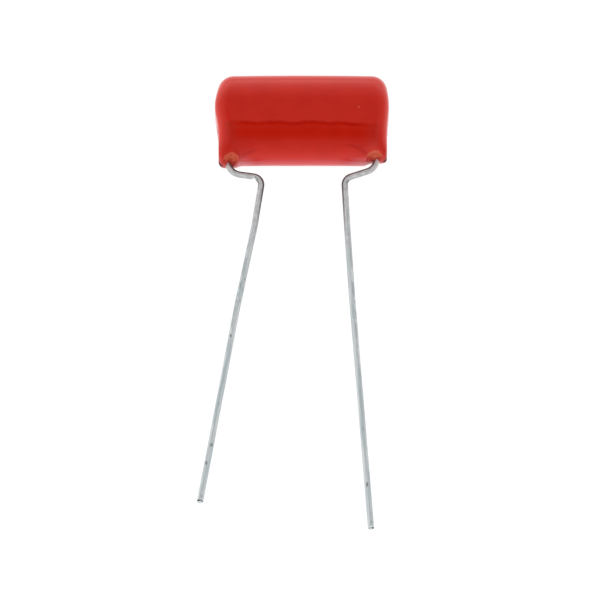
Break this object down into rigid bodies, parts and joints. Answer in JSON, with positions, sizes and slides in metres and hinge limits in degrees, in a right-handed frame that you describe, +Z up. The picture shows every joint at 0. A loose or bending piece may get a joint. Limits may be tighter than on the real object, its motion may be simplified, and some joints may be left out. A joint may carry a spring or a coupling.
{
  "type": "dipped film capacitor",
  "caption": "Dipped film capacitor: a flattened, glossy red resin body with kinked and splayed tinned wire leads, lying on its flat side. It stores charge in a circuit.",
  "frame": {"origin": "middle of the flat underside that the body lies on", "axes": "+Z up from the surface, X along the winding, leads pointing to -Y"},
  "size_m": [0.0218, 0.0542, 0.0062],
  "materials": {
    "red_resin": "glossy dipped red resin, matte where it is broken",
    "wound_film": "plain wound film",
    "sprayed_metal": "rough sprayed metal",
    "solder": "smooth solder",
    "tinned_wire": "satin tin plate with fine draw lines"
  },
  "bodies": {
    "root": {"dip_coating": "red_resin", "film_winding": "wound_film", "end_contact_left": "sprayed_metal", "end_contact_right": "sprayed_metal", "solder_joint_left": "solder", "solder_joint_right": "solder", "lead_left": "tinned_wire", "lead_right": "tinned_wire"}
  },
  "joints": []
}
